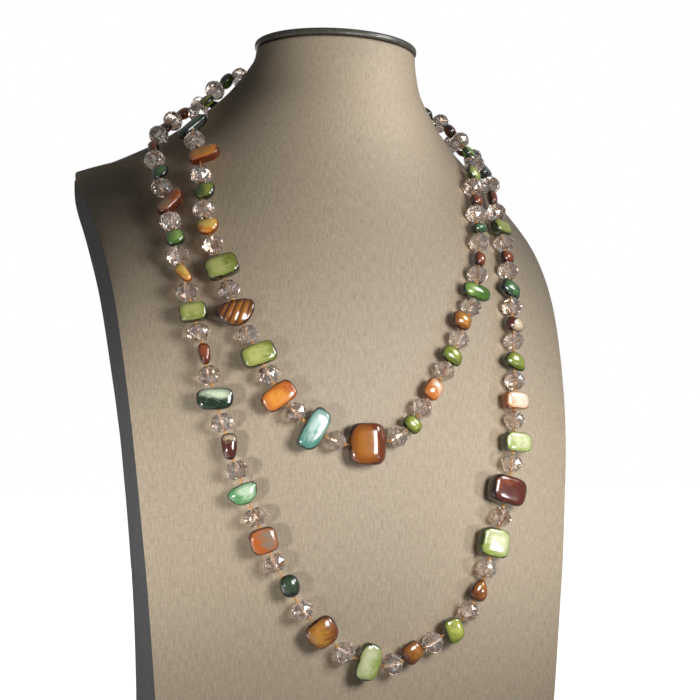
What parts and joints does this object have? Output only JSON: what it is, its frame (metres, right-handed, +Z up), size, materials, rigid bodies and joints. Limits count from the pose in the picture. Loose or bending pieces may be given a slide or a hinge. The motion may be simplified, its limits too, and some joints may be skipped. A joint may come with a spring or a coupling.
{
  "type": "beaded necklace on neck bust",
  "caption": "Long knotted rope of faceted crystals and dyed shell nuggets, worn in two turns round a linen display bust.",
  "frame": {"origin": "centre of the bust's flat base, on the ground under the neck's axis", "axes": "+Z up along the neck, -Y the way the chest faces, +X to the viewer's right"},
  "size_m": [0.22, 0.1252, 0.3191],
  "materials": {
    "board": "plain dark covering, matt",
    "linen": "woven, matt",
    "cap": "woven, matt",
    "rope": "faceted clear crystal with a faint lustre",
    "forest": "dyed shell, polished, pearly",
    "orange": "dyed shell, polished, pearly",
    "moss": "dyed shell, polished, pearly",
    "yellow": "dyed shell, polished, pearly",
    "olive": "dyed shell, polished, pearly",
    "tortoise": "dyed shell, polished, pearly",
    "teal": "dyed shell, polished, pearly",
    "amber": "dyed shell, polished, pearly",
    "peach": "dyed shell, polished, pearly",
    "green": "dyed shell, polished, pearly",
    "brown": "dyed shell, polished, pearly",
    "mint": "dyed shell, polished, pearly",
    "yellow_green": "dyed shell, polished, pearly",
    "pale_green": "dyed shell, polished, pearly",
    "cream": "dyed shell, polished, pearly"
  },
  "bodies": {
    "root": {"bust_back": "board", "neck_bust": "linen", "neck_cap": "cap", "rope_inner": "rope", "rope_outer": "rope", "shell_inner_05_forest": "forest", "shell_inner_06_orange": "orange", "shell_inner_07_moss": "moss", "shell_inner_08_yellow": "yellow", "shell_inner_09_olive": "olive", "shell_inner_10_tortoise": "tortoise", "shell_inner_11_olive": "olive", "shell_inner_12_orange": "orange", "shell_inner_13_teal": "teal", "shell_inner_14_amber": "amber", "shell_inner_16_peach": "peach", "shell_inner_17_moss": "moss", "shell_inner_18_amber": "amber", "shell_inner_19_green": "green", "shell_inner_23_olive": "olive", "shell_outer_03_forest": "forest", "shell_outer_08_amber": "amber", "shell_outer_10_amber": "amber", "shell_outer_11_olive": "olive", "shell_outer_12_brown": "brown", "shell_outer_13_green": "green", "shell_outer_14_brown": "brown", "shell_outer_15_mint": "mint", "shell_outer_16_brown": "brown", "shell_outer_17_forest": "forest", "shell_outer_18_amber": "amber", "shell_outer_19_mint": "mint", "shell_outer_20_tortoise": "tortoise", "shell_outer_21_yellow_green": "yellow_green", "shell_outer_22_orange": "orange", "shell_outer_23_pale_green": "pale_green", "shell_outer_24_brown": "brown", "shell_outer_25_pale_green": "pale_green", "shell_outer_26_cream": "cream", "shell_outer_27_moss": "moss", "shell_outer_28_tortoise": "tortoise", "shell_outer_29_forest": "forest", "shell_outer_31_olive": "olive", "shell_outer_32_brown": "brown", "shell_outer_33_forest": "forest", "shell_outer_34_brown": "brown"}
  },
  "joints": []
}
